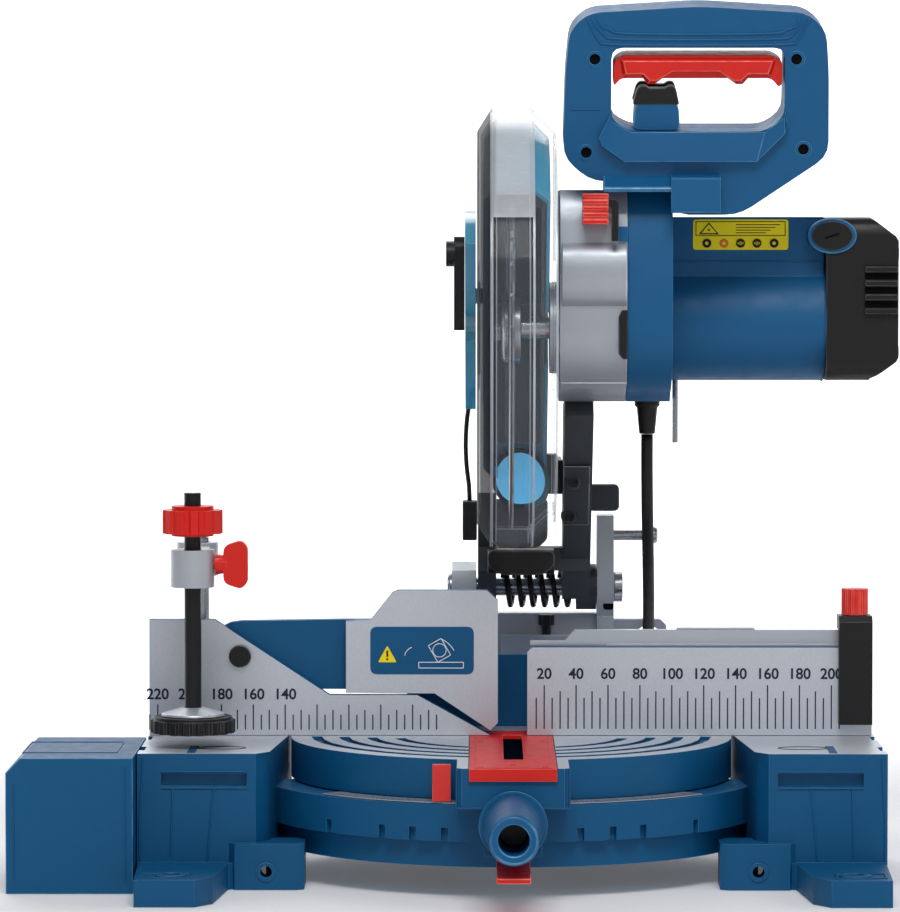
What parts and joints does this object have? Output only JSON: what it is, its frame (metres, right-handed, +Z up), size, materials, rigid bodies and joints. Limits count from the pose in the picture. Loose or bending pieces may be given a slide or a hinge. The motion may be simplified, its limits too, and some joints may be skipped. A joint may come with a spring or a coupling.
{
  "type": "compound mitre saw",
  "caption": "Bench-top compound mitre saw with swivelling table, tilting and chopping head, flip fence, workpiece clamp and side extension.",
  "frame": {"origin": "on the bench, under the middle of the saw's bounding box without its mains cord", "axes": "+X to the user's right along the fence, +Y away from the user, +Z up"},
  "size_m": [0.551, 0.622, 0.5415],
  "materials": {
    "blue_casting": "satin painted die-cast alloy, machined bare on top",
    "silver_casting": "fine cast aluminium",
    "fence_metal": "painted casting with a machined silver face",
    "rail_metal": "anodised strip",
    "dark_casting": "dark grey casting",
    "steel": "turned steel",
    "blade_steel": "ground blade steel",
    "black_plastic": "black nylon",
    "blue_plastic": "glass-filled nylon, fine grain",
    "red_plastic": "red moulded plastic",
    "clear_plastic": "clear polycarbonate",
    "teal_plastic": "translucent teal plastic",
    "copper": "wound copper",
    "cord_rubber": "black rubber sheath"
  },
  "bodies": {
    "base": {"base_casting": "blue_casting", "mitre_scale": "rail_metal", "table_pivot_bolt": "steel", "clamp_post": "steel", "fence": "fence_metal", "fence_top_rail": "rail_metal", "flip_fence_bolt": "black_plastic"},
    "extension": {"side_extension": "blue_casting"},
    "flip_fence": {"flip_fence": "fence_metal"},
    "length_stop": {"length_stop": "black_plastic"},
    "stop_knob": {"stop_knob": "red_plastic"},
    "clamp_arm": {"clamp_arm": "silver_casting"},
    "clamp_wing_knob": {"clamp_wing_knob": "red_plastic"},
    "clamp_pad": {"clamp_pad": "black_plastic"},
    "clamp_screw": {"clamp_rod": "black_plastic", "clamp_knob": "red_plastic"},
    "turntable": {"turntable": "blue_casting", "kerf_insert": "red_plastic", "mitre_pointer": "red_plastic", "bevel_scale": "rail_metal", "bevel_bolt": "steel", "cord_tail": "cord_rubber", "cord_coil": "cord_rubber", "plug": "cord_rubber"},
    "mitre_lock_knob": {"mitre_lock_knob": "blue_plastic", "mitre_lock_rod": "black_plastic"},
    "detent_lever": {"detent_lever": "red_plastic"},
    "bevel_arm": {"bevel_arm": "silver_casting", "head_pivot_pin": "steel", "return_spring": "steel", "cord_drop": "cord_rubber"},
    "bevel_lock_lever": {"bevel_lock_lever": "black_plastic"},
    "head_lock_pin": {"head_lock_pin": "steel"},
    "head": {"head_arm": "dark_casting", "gear_housing": "silver_casting", "motor_housing": "blue_plastic", "motor_end_cap": "black_plastic", "stator": "steel", "front_bearing": "steel", "upper_guard": "teal_plastic", "guard_hub_cover": "teal_plastic", "laser_module": "black_plastic", "dust_port": "black_plastic", "cord_gland": "cord_rubber", "handle_front_shell": "blue_plastic", "handle_rear_shell": "blue_plastic", "lock_off_boss": "blue_plastic"},
    "lower_guard": {"lower_guard": "clear_plastic"},
    "guard_release": {"guard_release_lever": "black_plastic"},
    "blade": {"blade": "blade_steel", "spindle": "steel", "outer_flange": "steel", "arbor_bolt": "steel", "drive_gear": "steel"},
    "motor_rotor": {"motor_shaft": "steel", "armature": "copper", "motor_fan": "black_plastic"},
    "trigger": {"trigger": "red_plastic"},
    "lock_off_button": {"lock_off_button": "black_plastic"},
    "spindle_lock": {"spindle_lock": "red_plastic"}
  },
  "joints": [
    {"name": "extension_lift", "type": "slide", "parent": "base", "child": "extension", "axis": [0, 0, 1], "range_m": [0, 0.04]},
    {"name": "flip_fence_swing", "type": "hinge", "parent": "base", "child": "flip_fence", "pos_m": [-0.1405, 0.037, 0.132], "axis": [0, -1, 0], "range_deg": [0, 70]},
    {"name": "stop_slide", "type": "slide", "parent": "base", "child": "length_stop", "axis": [1, 0, 0], "range_m": [-0.15, 0]},
    {"name": "stop_knob_turn", "type": "hinge", "parent": "length_stop", "child": "stop_knob", "pos_m": [0.245, 0.042, 0.16], "axis": [0, 0, 1], "range_deg": [-180, 180]},
    {"name": "clamp_arm_slide", "type": "slide", "parent": "base", "child": "clamp_arm", "axis": [0, 0, 1], "range_m": [0, 0.003]},
    {"name": "clamp_wing_turn", "type": "hinge", "parent": "clamp_arm", "child": "clamp_wing_knob", "pos_m": [-0.1525, -0.023, 0.194], "axis": [1, 0, 0], "range_deg": [-90, 90]},
    {"name": "clamp_pad_feed", "type": "slide", "parent": "clamp_arm", "child": "clamp_pad", "axis": [0, 0, -1], "range_m": [0, 0.008]},
    {"name": "clamp_screw_turn", "type": "hinge", "parent": "clamp_pad", "child": "clamp_screw", "pos_m": [-0.1665, -0.023, 0.16], "axis": [0, 0, 1], "range_deg": [0, 1440]},
    {"name": "mitre", "type": "hinge", "parent": "base", "child": "turntable", "pos_m": [0.0295, 0.037, 0], "axis": [0, 0, 1], "range_deg": [-45, 45], "deforming": ["cord_drop", "cord_tail"]},
    {"name": "mitre_lock_turn", "type": "hinge", "parent": "turntable", "child": "mitre_lock_knob", "pos_m": [0.0295, -0.163, 0.049], "axis": [0, -1, 0], "range_deg": [-180, 180]},
    {"name": "detent_press", "type": "hinge", "parent": "turntable", "child": "detent_lever", "pos_m": [0.0295, -0.1405, 0.033], "axis": [1, 0, 0], "range_deg": [0, 4], "stiffness_Nm_per_rad": 2, "springref_deg": -3.44},
    {"name": "bevel", "type": "hinge", "parent": "turntable", "child": "bevel_arm", "pos_m": [0.0295, 0.187, 0.082], "axis": [0, 1, 0], "range_deg": [-45, 0], "deforming": ["cord_drop", "cord_tail"]},
    {"name": "bevel_lock_turn", "type": "hinge", "parent": "bevel_arm", "child": "bevel_lock_lever", "pos_m": [0.0295, 0.211, 0.082], "axis": [0, 1, 0], "range_deg": [-40, 40]},
    {"name": "head_pin_pull", "type": "slide", "parent": "bevel_arm", "child": "head_lock_pin", "axis": [1, 0, 0], "range_m": [0, 0.008]},
    {"name": "chop", "type": "hinge", "parent": "bevel_arm", "child": "head", "pos_m": [0.0295, 0.187, 0.1645], "axis": [1, 0, 0], "range_deg": [0, 46], "stiffness_Nm_per_rad": 12, "springref_deg": -68.75, "deforming": ["cord_drop", "cord_tail"]},
    {"name": "guard_swing", "type": "hinge", "parent": "head", "child": "lower_guard", "pos_m": [0.0295, 0.0566, 0.3375], "axis": [1, 0, 0], "range_deg": [-138.5, 0]},
    {"name": "guard_release_press", "type": "hinge", "parent": "head", "child": "guard_release", "pos_m": [-0.0025, 0.0526, 0.34], "axis": [1, 0, 0], "range_deg": [0, 10], "stiffness_Nm_per_rad": 0.5, "springref_deg": -2.86},
    {"name": "blade_spin", "type": "hinge", "parent": "head", "child": "blade", "pos_m": [0.0295, 0.0566, 0.3375], "axis": [1, 0, 0], "continuous": true},
    {"name": "motor_spin", "type": "hinge", "parent": "head", "child": "motor_rotor", "pos_m": [0.1495, 0.099, 0.3408], "axis": [1, 0, 0], "continuous": true},
    {"name": "trigger_squeeze", "type": "slide", "parent": "head", "child": "trigger", "axis": [0, -0.1736, 0.9848], "range_m": [0, 0.004], "stiffness_N_per_m": 600, "springref_m": -0.001},
    {"name": "lock_off_press", "type": "slide", "parent": "head", "child": "lock_off_button", "axis": [0, 0.1736, -0.9848], "range_m": [0, 0.003], "stiffness_N_per_m": 400, "springref_m": -0.001},
    {"name": "spindle_lock_press", "type": "slide", "parent": "head", "child": "spindle_lock", "axis": [0, 0, -1], "range_m": [0, 0.005], "stiffness_N_per_m": 400, "springref_m": -0.001}
  ],
  "couplings": [
    {"joint": "guard_swing", "follows": "chop", "ratio": -3},
    {"joint": "motor_spin", "follows": "blade_spin", "ratio": -3.6667},
    {"joint": "clamp_pad_feed", "follows": "clamp_screw_turn", "m_per_rad": 0.00031831}
  ]
}
